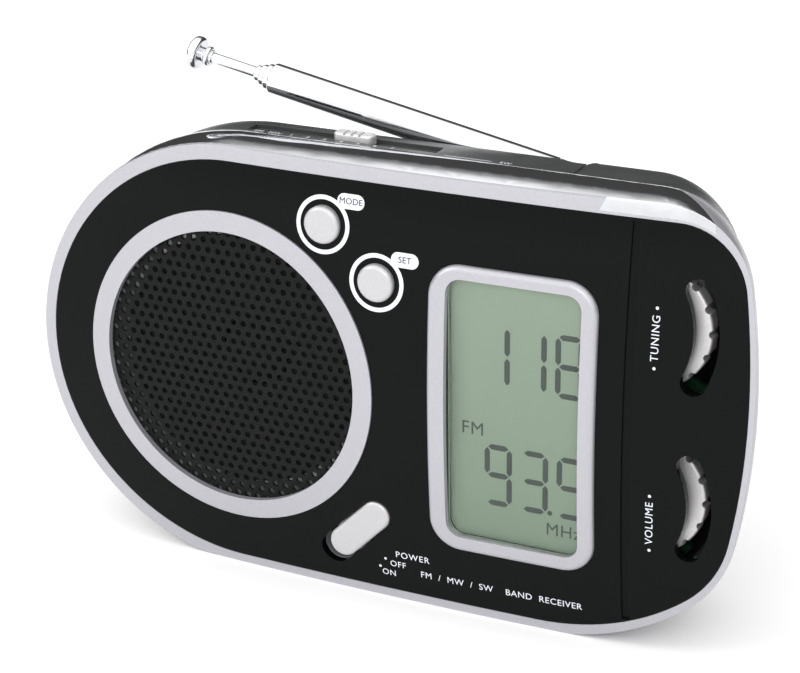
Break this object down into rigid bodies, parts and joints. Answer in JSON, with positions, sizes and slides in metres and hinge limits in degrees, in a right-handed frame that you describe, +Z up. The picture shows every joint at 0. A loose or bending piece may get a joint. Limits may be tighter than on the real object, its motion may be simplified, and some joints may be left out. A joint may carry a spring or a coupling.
{
  "type": "shortwave receiver",
  "caption": "Pocket shortwave receiver with round speaker, upright display, finger wheels, slide switches and a folding telescopic antenna.",
  "frame": {"origin": "middle of the flat base that the set stands on, under the middle of its width", "axes": "+X to the right of the face, +Y from the face to the back, +Z up"},
  "size_m": [0.1309, 0.029, 0.0881],
  "materials": {
    "satin_silver": "satin",
    "bright_chrome": "polished",
    "black_face": "high gloss",
    "grey_shell": "fine texture",
    "black_mesh": "satin",
    "clear_lens": "clear",
    "lcd_glass": "satin",
    "white_plastic": "satin",
    "black_plastic": "satin",
    "black_rubber": "matte",
    "circuit_board": "satin",
    "component_steel": "satin",
    "brass": "satin",
    "ferrite": "matte",
    "copper_wire": "satin",
    "magnet": "matte",
    "paper_cone": "matte",
    "battery_sleeve": "printed sleeve",
    "spring_steel": "satin"
  },
  "bodies": {
    "case": {"front_frame": "satin_silver", "chrome_trim": "bright_chrome", "fascia_panel": "black_face", "rear_shell": "grey_shell", "top_panel": "grey_shell", "case_screws": "component_steel", "speaker_ring": "satin_silver", "speaker_grille": "black_mesh", "speaker_basket": "component_steel", "speaker_cone": "paper_cone", "speaker_dust_cap": "paper_cone", "voice_coil": "copper_wire", "speaker_magnet": "magnet", "speaker_yoke": "component_steel", "lcd_bezel": "satin_silver", "lcd_window": "clear_lens", "lcd_panel": "lcd_glass", "lcd_backlight": "white_plastic", "lcd_connector_strips": "black_rubber", "tact_switches": "component_steel", "power_switch": "black_plastic", "tuning_capacitor": "white_plastic", "volume_control": "black_plastic", "band_switch": "black_plastic", "main_board": "circuit_board", "tuning_coils": "component_steel", "radio_chip": "black_plastic", "electrolytic_capacitors": "black_plastic", "ferrite_rod": "ferrite", "ferrite_coil": "copper_wire", "earphone_jack": "black_plastic", "supply_jack": "black_plastic", "battery_upper": "battery_sleeve", "battery_lower": "battery_sleeve", "battery_spring_upper": "spring_steel", "battery_spring_lower": "spring_steel", "battery_link_plate": "spring_steel", "battery_contact_plates": "spring_steel", "battery_tray": "grey_shell"},
    "battery_door": {"battery_door": "grey_shell"},
    "mode_button": {"mode_button": "satin_silver"},
    "set_button": {"set_button": "satin_silver"},
    "power_knob": {"power_knob": "satin_silver"},
    "band_knob": {"band_knob": "satin_silver"},
    "tuning_control": {"tuning_wheel": "satin_silver", "tuning_shaft": "brass", "tuning_screw": "component_steel"},
    "volume_control": {"volume_wheel": "satin_silver", "volume_shaft": "brass", "volume_screw": "component_steel"},
    "antenna_base": {"antenna_swivel": "bright_chrome", "swivel_screw": "component_steel", "pivot_rivet": "bright_chrome"},
    "antenna_tube": {"antenna_knuckle": "bright_chrome", "antenna_section_1": "bright_chrome"},
    "antenna_second": {"antenna_section_2": "bright_chrome"},
    "antenna_third": {"antenna_section_3": "bright_chrome"},
    "antenna_fourth": {"antenna_section_4": "bright_chrome"},
    "antenna_whip": {"antenna_rod": "bright_chrome", "antenna_tip": "bright_chrome"}
  },
  "joints": [
    {"name": "door_slide", "type": "slide", "parent": "case", "child": "battery_door", "axis": [1, 0, 0], "range_m": [0, 0.056]},
    {"name": "mode_press", "type": "slide", "parent": "case", "child": "mode_button", "axis": [0, 1, 0], "range_m": [0, 0.0006], "stiffness_N_per_m": 800},
    {"name": "set_press", "type": "slide", "parent": "case", "child": "set_button", "axis": [0, 1, 0], "range_m": [0, 0.0006], "stiffness_N_per_m": 800},
    {"name": "power_slide", "type": "slide", "parent": "case", "child": "power_knob", "axis": [-0.7071, 0, -0.7071], "range_m": [0, 0.0026]},
    {"name": "band_slide", "type": "slide", "parent": "case", "child": "band_knob", "axis": [1, 0, 0], "range_m": [-0.0136, 0.0116]},
    {"name": "tuning_turn", "type": "hinge", "parent": "case", "child": "tuning_control", "pos_m": [0.046, -0.008, 0.0561], "axis": [0, 1, 0], "range_deg": [-90, 90]},
    {"name": "volume_turn", "type": "hinge", "parent": "case", "child": "volume_control", "pos_m": [0.046, -0.008, 0.0275], "axis": [0, 1, 0], "range_deg": [-150, 150]},
    {"name": "antenna_swivel", "type": "hinge", "parent": "case", "child": "antenna_base", "pos_m": [0.0283, 0.01, 0.0665], "axis": [0, 0, -1], "range_deg": [0, 180]},
    {"name": "antenna_tilt", "type": "hinge", "parent": "antenna_base", "child": "antenna_tube", "pos_m": [0.0283, 0.01, 0.0708], "axis": [0, 1, 0], "range_deg": [-11.2, 78.8]},
    {"name": "second_slide", "type": "slide", "parent": "antenna_tube", "child": "antenna_second", "axis": [-0.981, 0, 0.1942], "range_m": [0, 0.042]},
    {"name": "third_slide", "type": "slide", "parent": "antenna_second", "child": "antenna_third", "axis": [-0.981, 0, 0.1942], "range_m": [0, 0.042]},
    {"name": "fourth_slide", "type": "slide", "parent": "antenna_third", "child": "antenna_fourth", "axis": [-0.981, 0, 0.1942], "range_m": [0, 0.042]},
    {"name": "whip_slide", "type": "slide", "parent": "antenna_fourth", "child": "antenna_whip", "axis": [-0.981, 0, 0.1942], "range_m": [-0.0083, 0.036]}
  ]
}
